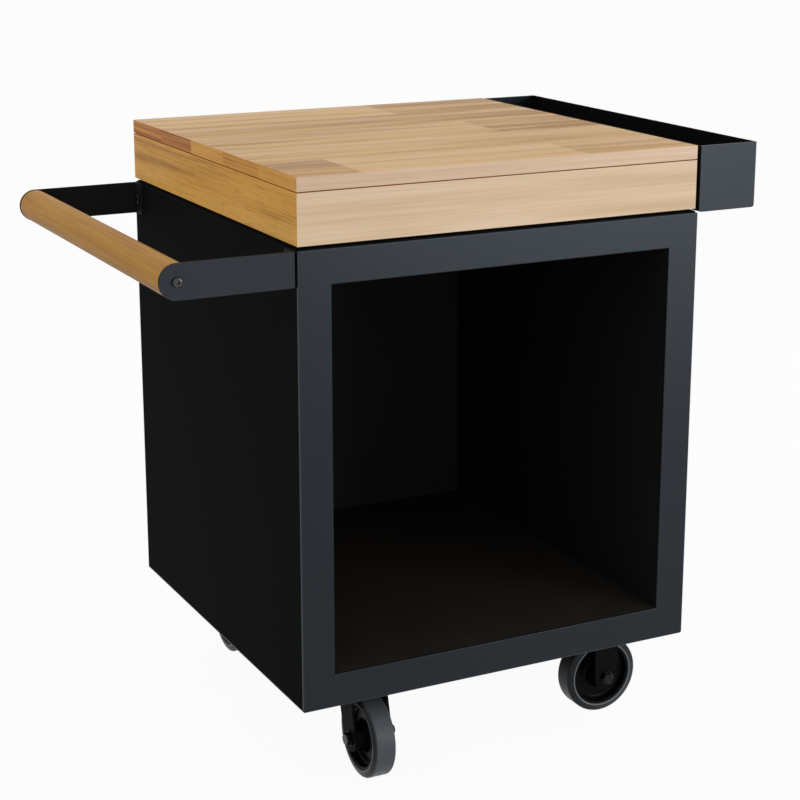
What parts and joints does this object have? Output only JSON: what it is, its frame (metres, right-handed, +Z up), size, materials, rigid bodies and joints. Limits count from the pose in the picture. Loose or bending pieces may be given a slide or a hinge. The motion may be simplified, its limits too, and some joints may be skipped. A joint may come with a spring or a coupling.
{
  "type": "prep table",
  "caption": "Outdoor prep table on castors: black steel cabinet with an open front bay, thick wooden worktop, wooden rod handle on the left and a planter trough on the right.",
  "frame": {"origin": "on the floor, below the middle of the whole table's box", "axes": "+X from the handle towards the planter, +Y from the open front towards the rear, +Z up"},
  "size_m": [0.947, 0.6528, 0.92],
  "materials": {
    "black_powder_coat": "fine matt powder coat",
    "black_strip": "matt",
    "oiled_hardwood": "oiled, sanded smooth",
    "zinc_steel": "zinc plated",
    "black_steel": "blackened",
    "brass_insert": "turned",
    "bearing_steel": "hardened",
    "black_nylon": "moulded, slightly shiny",
    "grey_rubber": "smooth, matt"
  },
  "bodies": {
    "table": {"front_frame": "black_powder_coat", "left_side_panel": "black_powder_coat", "right_side_panel": "black_powder_coat", "rear_panel": "black_powder_coat", "base_plate": "black_powder_coat", "floor_bearers": "black_powder_coat", "bay_floor": "black_powder_coat", "bay_left_wall": "black_powder_coat", "bay_right_wall": "black_powder_coat", "bay_ceiling": "black_powder_coat", "deck_bearers": "black_powder_coat", "top_deck": "black_powder_coat", "handle_front_bracket": "black_powder_coat", "handle_rear_bracket": "black_powder_coat", "planter_trough": "black_powder_coat", "planter_front_end": "black_powder_coat", "planter_rear_end": "black_powder_coat", "planter_spacers": "black_powder_coat", "plinth_strips": "black_strip", "apron_front_board": "oiled_hardwood", "apron_rear_board": "oiled_hardwood", "apron_left_board": "oiled_hardwood", "apron_right_board": "oiled_hardwood", "apron_corner_blocks": "oiled_hardwood", "worktop_board": "oiled_hardwood", "worktop_battens": "oiled_hardwood", "handle_rod": "oiled_hardwood", "apron_screws": "zinc_steel", "worktop_screws": "zinc_steel", "planter_screws": "zinc_steel", "handle_flange_nuts": "zinc_steel", "castor_nuts": "zinc_steel", "handle_rod_bolts": "black_steel", "handle_flange_bolts": "black_steel", "castor_bolts": "black_steel", "handle_rod_inserts": "brass_insert", "front_left_castor_plate": "black_steel", "front_left_castor_race": "bearing_steel", "front_left_castor_balls": "bearing_steel", "front_left_castor_kingpin": "bearing_steel", "front_right_castor_fork": "black_steel", "front_right_castor_axle": "black_steel", "rear_left_castor_plate": "black_steel", "rear_left_castor_race": "bearing_steel", "rear_left_castor_balls": "bearing_steel", "rear_left_castor_kingpin": "bearing_steel", "rear_right_castor_fork": "black_steel", "rear_right_castor_axle": "black_steel"},
    "front_left_castor_rolling": {"front_left_castor_wheel": "black_nylon", "front_left_castor_tyre": "grey_rubber"},
    "front_right_castor_rolling": {"front_right_castor_wheel": "black_nylon", "front_right_castor_tyre": "grey_rubber"},
    "front_left_castor_swivelling": {"front_left_castor_fork": "black_steel", "front_left_castor_axle": "black_steel"},
    "rear_left_castor_rolling": {"rear_left_castor_wheel": "black_nylon", "rear_left_castor_tyre": "grey_rubber"},
    "rear_right_castor_rolling": {"rear_right_castor_wheel": "black_nylon", "rear_right_castor_tyre": "grey_rubber"},
    "rear_left_castor_swivelling": {"rear_left_castor_fork": "black_steel", "rear_left_castor_axle": "black_steel"}
  },
  "joints": [
    {"name": "front_left_castor_swivel", "type": "hinge", "parent": "table", "child": "front_left_castor_swivelling", "pos_m": [-0.1465, -0.22, 0.14], "axis": [0, 0, 1], "continuous": true},
    {"name": "front_left_castor_roll", "type": "hinge", "parent": "front_left_castor_swivelling", "child": "front_left_castor_rolling", "pos_m": [-0.1465, -0.263, 0.0625], "axis": [1, 0, 0], "continuous": true},
    {"name": "front_right_castor_roll", "type": "hinge", "parent": "table", "child": "front_right_castor_rolling", "pos_m": [0.2825, -0.22, 0.0625], "axis": [0, 1, 0], "continuous": true},
    {"name": "rear_left_castor_swivel", "type": "hinge", "parent": "table", "child": "rear_left_castor_swivelling", "pos_m": [-0.1465, 0.22, 0.14], "axis": [0, 0, 1], "continuous": true},
    {"name": "rear_left_castor_roll", "type": "hinge", "parent": "rear_left_castor_swivelling", "child": "rear_left_castor_rolling", "pos_m": [-0.1465, 0.263, 0.0625], "axis": [1, 0, 0], "continuous": true},
    {"name": "rear_right_castor_roll", "type": "hinge", "parent": "table", "child": "rear_right_castor_rolling", "pos_m": [0.2825, 0.22, 0.0625], "axis": [0, 1, 0], "continuous": true}
  ]
}
